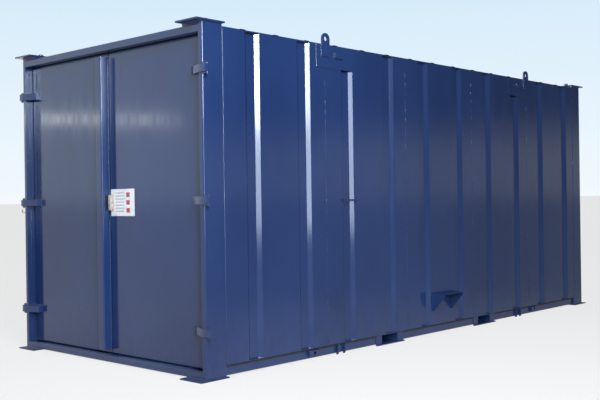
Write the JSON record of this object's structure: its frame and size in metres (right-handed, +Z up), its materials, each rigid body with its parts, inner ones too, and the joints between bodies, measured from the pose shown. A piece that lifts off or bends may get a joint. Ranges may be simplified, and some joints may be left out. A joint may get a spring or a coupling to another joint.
{
  "type": "portable site cabin",
  "caption": "Long steel secure store with grooved side walls, corner posts with foot and stacking plates, lifting lugs, fork pockets and a pair of hinged doors in one short end.",
  "frame": {"origin": "middle of the footprint, on the ground", "axes": "+X to the right seen from the doors, +Y from the doors to the rear end, +Z up"},
  "size_m": [2.71, 6.06, 2.6499],
  "materials": {
    "navy_gloss_enamel": "gloss navy enamel on folded sheet steel",
    "plywood_floor": "plain birch plywood",
    "zinc_plated_steel": "dull zinc plating",
    "white_notice_plate": "white laminated sheet, blank"
  },
  "bodies": {
    "cabin": {"post_front_left": "navy_gloss_enamel", "post_front_right": "navy_gloss_enamel", "post_rear_left": "navy_gloss_enamel", "post_rear_right": "navy_gloss_enamel", "foot_plates": "navy_gloss_enamel", "stacking_plates": "navy_gloss_enamel", "stacking_pegs": "navy_gloss_enamel", "front_header": "navy_gloss_enamel", "front_sill": "navy_gloss_enamel", "rear_header": "navy_gloss_enamel", "rear_sill": "navy_gloss_enamel", "bottom_rail_left": "navy_gloss_enamel", "bottom_rail_right": "navy_gloss_enamel", "top_rail_left": "navy_gloss_enamel", "top_rail_right": "navy_gloss_enamel", "fork_pocket_front": "navy_gloss_enamel", "fork_pocket_rear": "navy_gloss_enamel", "floor_bearers": "navy_gloss_enamel", "floor_deck": "plywood_floor", "side_wall_left": "navy_gloss_enamel", "side_wall_right": "navy_gloss_enamel", "rear_wall": "navy_gloss_enamel", "roof_sheet": "navy_gloss_enamel", "roof_bows": "navy_gloss_enamel", "backing_plates": "navy_gloss_enamel", "lifting_lugs": "navy_gloss_enamel", "sling_keepers": "navy_gloss_enamel", "skid_plates": "navy_gloss_enamel", "lashing_brackets": "navy_gloss_enamel", "side_hoods": "navy_gloss_enamel", "holding_bars": "navy_gloss_enamel", "stay_hook": "zinc_plated_steel", "hinge_pins_left": "navy_gloss_enamel", "hinge_pins_right": "navy_gloss_enamel"},
    "left_door": {"door_left_frame": "navy_gloss_enamel", "door_left_skin": "navy_gloss_enamel", "closing_stile": "navy_gloss_enamel", "lock_plate": "navy_gloss_enamel", "hinge_straps_left": "navy_gloss_enamel"},
    "right_door": {"door_right_frame": "navy_gloss_enamel", "door_right_skin": "navy_gloss_enamel", "lock_case": "zinc_plated_steel", "notice_plate": "white_notice_plate", "hinge_straps_right": "navy_gloss_enamel"}
  },
  "joints": [
    {"name": "left_door_hinge", "type": "hinge", "parent": "cabin", "child": "left_door", "pos_m": [-1.253, -2.951, 0], "axis": [0, 0, -1], "range_deg": [0, 270]},
    {"name": "right_door_hinge", "type": "hinge", "parent": "cabin", "child": "right_door", "pos_m": [1.253, -2.951, 0], "axis": [0, 0, 1], "range_deg": [0, 270]}
  ]
}
